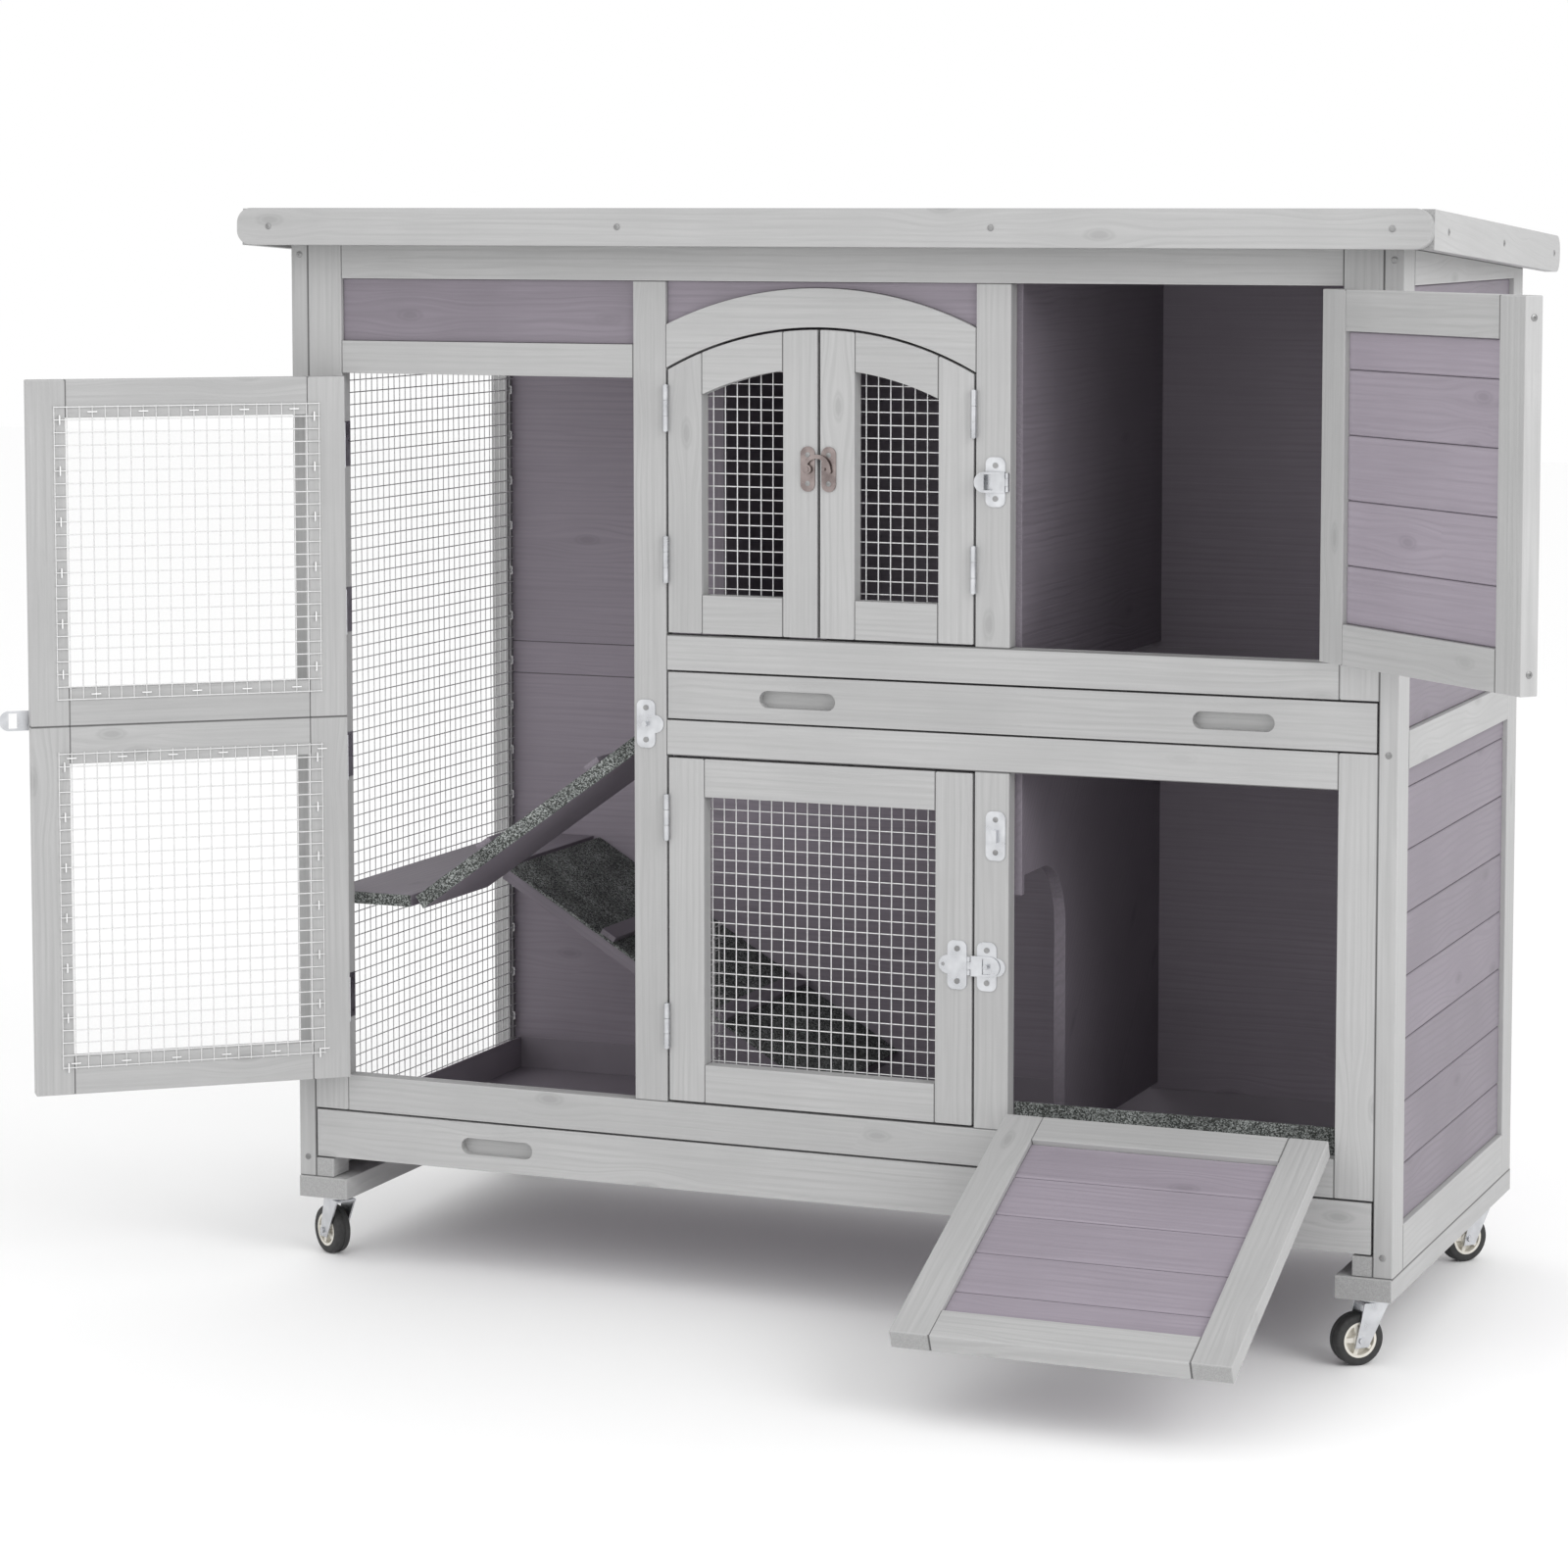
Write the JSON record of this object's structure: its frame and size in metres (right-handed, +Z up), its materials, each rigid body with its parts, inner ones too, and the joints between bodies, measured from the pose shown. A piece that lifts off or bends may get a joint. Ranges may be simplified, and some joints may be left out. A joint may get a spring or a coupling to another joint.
{
  "type": "rabbit hutch",
  "caption": "Two-storey timber rabbit hutch on casters with mesh and boarded doors, arched double doors, internal ramps and pull-out trays.",
  "frame": {"origin": "on the floor, under the middle of the footprint with the doors standing as stored", "axes": "+X to the right along the front, +Y from the front to the back wall, +Z up"},
  "size_m": [1.546, 0.84, 1.0915],
  "materials": {
    "frame_paint": "light grey satin paint over softwood",
    "board_paint": "mauve-grey satin paint over softwood",
    "mesh_wire": "galvanised welded mesh",
    "zinc": "bright zinc plate",
    "clasp_nickel": "bronzed nickel plate",
    "ramp_felt": "mineral-faced grit felt",
    "roof_felt": "mineral-faced roofing felt",
    "tray_pan": "dark mauve-grey paint",
    "tyre": "black rubber",
    "caster_hub": "cream plastic"
  },
  "bodies": {
    "root": {"front_posts": "frame_paint", "front_rails": "frame_paint", "arch_header": "frame_paint", "front_panels": "board_paint", "side_frames": "frame_paint", "side_boards": "board_paint", "side_mesh": "mesh_wire", "back_frame": "frame_paint", "back_boards": "board_paint", "tray_runners": "frame_paint", "partitions": "board_paint", "landing_platform": "board_paint", "felt_mats": "ramp_felt", "upper_ramp": "board_paint", "ramp_cleats": "board_paint", "lower_ramp": "board_paint", "roof_battens": "frame_paint", "roof_deck": "board_paint", "roof_felt": "roof_felt", "roof_trims": "frame_paint", "post_hinges": "zinc", "post_catches": "zinc", "foot_planks": "frame_paint", "caster_plates": "zinc", "frame_screws": "zinc"},
    "left_door": {"left_door_frame": "frame_paint", "left_door_mesh": "mesh_wire", "left_door_hardware": "zinc"},
    "arch_door_left": {"arch_door_left_frame": "frame_paint", "arch_door_left_mesh": "mesh_wire", "arch_door_left_hardware": "clasp_nickel"},
    "arch_door_right": {"arch_door_right_frame": "frame_paint", "arch_door_right_mesh": "mesh_wire", "arch_door_right_hardware": "clasp_nickel"},
    "lower_door": {"lower_door_frame": "frame_paint", "lower_door_mesh": "mesh_wire", "lower_door_hardware": "zinc"},
    "right_door": {"right_door_frame": "frame_paint", "right_door_boards": "board_paint", "right_door_hardware": "zinc"},
    "ramp_door": {"ramp_door_frame": "frame_paint", "ramp_door_boards": "board_paint", "ramp_door_hardware": "zinc"},
    "upper_tray": {"upper_tray_front": "frame_paint", "upper_tray_pan": "tray_pan"},
    "lower_tray": {"lower_tray_front": "frame_paint", "lower_tray_pan": "tray_pan"},
    "clasp_arm": {"clasp_arm": "clasp_nickel"},
    "left_hasp_flap": {"left_hasp_flap": "zinc"},
    "lower_hasp_flap": {"lower_hasp_flap": "zinc"},
    "right_hasp_flap": {"right_hasp_flap": "zinc"},
    "ramp_hasp_flap": {"ramp_hasp_flap": "zinc"},
    "caster_front_left": {"caster_fork_front_left": "zinc"},
    "wheel_front_left": {"caster_wheel_front_left": "tyre"},
    "caster_front_right": {"caster_fork_front_right": "zinc"},
    "wheel_front_right": {"caster_wheel_front_right": "tyre"},
    "caster_rear_left": {"caster_fork_rear_left": "zinc"},
    "wheel_rear_left": {"caster_wheel_rear_left": "tyre"},
    "caster_rear_right": {"caster_fork_rear_right": "zinc"},
    "wheel_rear_right": {"caster_wheel_rear_right": "tyre"}
  },
  "joints": [
    {"name": "left_door_hinge", "type": "hinge", "parent": "root", "child": "left_door", "pos_m": [-0.50443, -0.09288, 0.562], "axis": [0, 0, 1], "range_deg": [-30, 140]},
    {"name": "arch_door_left_hinge", "type": "hinge", "parent": "root", "child": "arch_door_left", "pos_m": [-0.14443, -0.09288, 0.82], "axis": [0, 0, -1], "range_deg": [0, 110]},
    {"name": "arch_door_right_hinge", "type": "hinge", "parent": "root", "child": "arch_door_right", "pos_m": [0.17817, -0.09288, 0.82], "axis": [0, 0, 1], "range_deg": [0, 110]},
    {"name": "lower_door_hinge", "type": "hinge", "parent": "root", "child": "lower_door", "pos_m": [-0.14443, -0.09288, 0.375], "axis": [0, 0, -1], "range_deg": [0, 165]},
    {"name": "right_door_hinge", "type": "hinge", "parent": "root", "child": "right_door", "pos_m": [0.53817, -0.09288, 0.845], "axis": [0, 0, 1], "range_deg": [-137.5, 32]},
    {"name": "ramp_door_hinge", "type": "hinge", "parent": "root", "child": "ramp_door", "pos_m": [0.37687, -0.09288, 0.2012], "axis": [1, 0, 0], "range_deg": [-113, 0]},
    {"name": "clasp_swing", "type": "hinge", "parent": "arch_door_left", "child": "clasp_arm", "pos_m": [0.00587, -0.09298, 0.838], "axis": [0, -1, 0], "range_deg": [0, 90]},
    {"name": "left_hasp_hinge", "type": "hinge", "parent": "left_door", "child": "left_hasp_flap", "pos_m": [-0.74793, -0.29866, 0.5804], "axis": [0, 0, -1], "range_deg": [0, 165]},
    {"name": "lower_hasp_hinge", "type": "hinge", "parent": "lower_door", "child": "lower_hasp_flap", "pos_m": [0.17437, -0.09176, 0.36], "axis": [0, 0, -1], "range_deg": [0, 165]},
    {"name": "right_hasp_hinge", "type": "hinge", "parent": "root", "child": "right_hasp_flap", "pos_m": [0.21177, -0.09176, 0.83], "axis": [0, 0, 1], "range_deg": [0, 165]},
    {"name": "ramp_hasp_hinge", "type": "hinge", "parent": "ramp_door", "child": "ramp_hasp_flap", "pos_m": [0.21937, -0.35732, 0.09017], "axis": [0, -0.9205, -0.3907], "range_deg": [-90, 75]},
    {"name": "upper_tray_slide", "type": "slide", "parent": "root", "child": "upper_tray", "axis": [0, -1, 0], "range_m": [0, 0.42]},
    {"name": "lower_tray_slide", "type": "slide", "parent": "root", "child": "lower_tray", "axis": [0, -1, 0], "range_m": [0, 0.1]},
    {"name": "caster_swivel_front_left", "type": "hinge", "parent": "root", "child": "caster_front_left", "pos_m": [-0.53463, -0.05568, 0.058], "axis": [0, 0, 1], "continuous": true},
    {"name": "caster_roll_front_left", "type": "hinge", "parent": "caster_front_left", "child": "wheel_front_left", "pos_m": [-0.5482, -0.04721, 0.025], "axis": [0.5299, 0.848, 0], "continuous": true},
    {"name": "caster_swivel_front_right", "type": "hinge", "parent": "root", "child": "caster_front_right", "pos_m": [0.56837, -0.05568, 0.058], "axis": [0, 0, 1], "continuous": true},
    {"name": "caster_roll_front_right", "type": "hinge", "parent": "caster_front_right", "child": "wheel_front_right", "pos_m": [0.55648, -0.06639, 0.025], "axis": [-0.6691, 0.7431, 0], "continuous": true},
    {"name": "caster_swivel_rear_left", "type": "hinge", "parent": "root", "child": "caster_rear_left", "pos_m": [-0.53463, 0.37632, 0.058], "axis": [0, 0, 1], "continuous": true},
    {"name": "caster_roll_rear_left", "type": "hinge", "parent": "caster_rear_left", "child": "wheel_rear_left", "pos_m": [-0.5196, 0.37084, 0.025], "axis": [0.342, 0.9397, 0], "continuous": true},
    {"name": "caster_swivel_rear_right", "type": "hinge", "parent": "root", "child": "caster_rear_right", "pos_m": [0.56837, 0.37632, 0.058], "axis": [0, 0, 1], "continuous": true},
    {"name": "caster_roll_rear_right", "type": "hinge", "parent": "caster_rear_right", "child": "wheel_rear_right", "pos_m": [0.55808, 0.36406, 0.025], "axis": [-0.766, 0.6428, 0], "continuous": true}
  ],
  "couplings": [
    {"joint": "arch_door_right_hinge", "follows": "arch_door_left_hinge", "ratio": 1}
  ]
}
